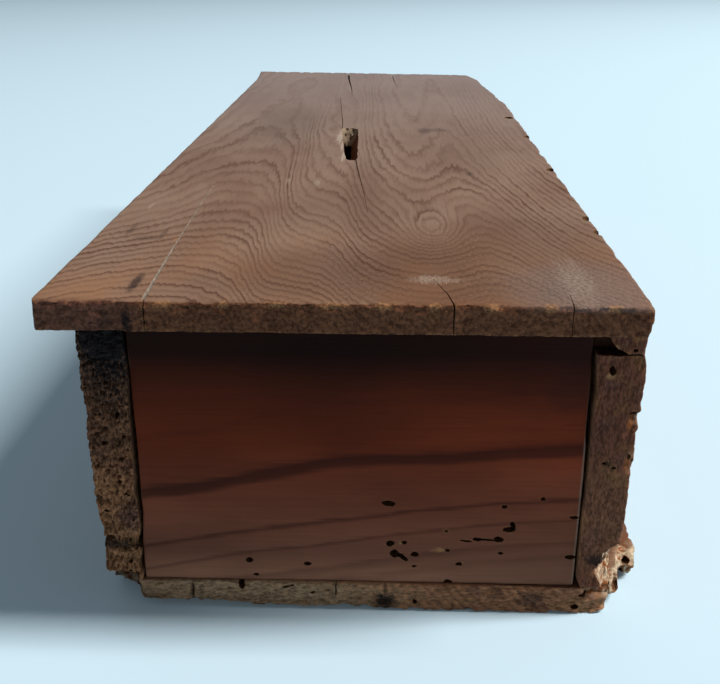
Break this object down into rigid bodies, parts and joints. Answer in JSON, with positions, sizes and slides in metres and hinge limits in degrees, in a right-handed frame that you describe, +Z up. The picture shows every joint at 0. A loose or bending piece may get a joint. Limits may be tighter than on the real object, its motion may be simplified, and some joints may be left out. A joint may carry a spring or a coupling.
{
  "type": "alms box",
  "caption": "Long antique wooden alms box of nailed, worm-eaten boards, with a coin slot in an overhanging lid that turns on iron hinges along one long side.",
  "frame": {"origin": "on the table, under the middle of the box's overall width and length", "axes": "+Z up, +Y along the length from the near end to the far end, +X towards the hinged long side"},
  "size_m": [0.1494, 0.43, 0.0873],
  "materials": {
    "lid_wood": "old waxed pine, worn and rubbed",
    "side_wood": "old pine, dry and worm-eaten",
    "panel_wood": "old waxed pine, dark red-brown",
    "bottom_wood": "old unfinished pine, worm-eaten",
    "iron": "forged iron, rusted brown"
  },
  "bodies": {
    "box": {"left_side_board": "side_wood", "right_side_board": "side_wood", "near_end_panel": "panel_wood", "far_end_panel": "panel_wood", "bottom_board": "bottom_wood", "near_panel_left_nails": "iron", "near_panel_right_nails": "iron", "far_panel_left_nails": "iron", "far_panel_right_nails": "iron", "bottom_left_nails": "iron", "bottom_right_nails": "iron", "bottom_near_nails": "iron", "bottom_far_nails": "iron", "near_hinge_box_leaf": "iron", "near_hinge_pin": "iron", "near_hinge_box_tacks": "iron", "far_hinge_box_leaf": "iron", "far_hinge_pin": "iron", "far_hinge_box_tacks": "iron"},
    "lid": {"lid_board": "lid_wood", "near_hinge_lid_leaf": "iron", "near_hinge_lid_tacks": "iron", "far_hinge_lid_leaf": "iron", "far_hinge_lid_tacks": "iron"}
  },
  "joints": [
    {"name": "lid_hinge", "type": "hinge", "parent": "box", "child": "lid", "pos_m": [0.06755, 0, 0.08005], "axis": [0, 1, 0], "range_deg": [0, 205]}
  ]
}
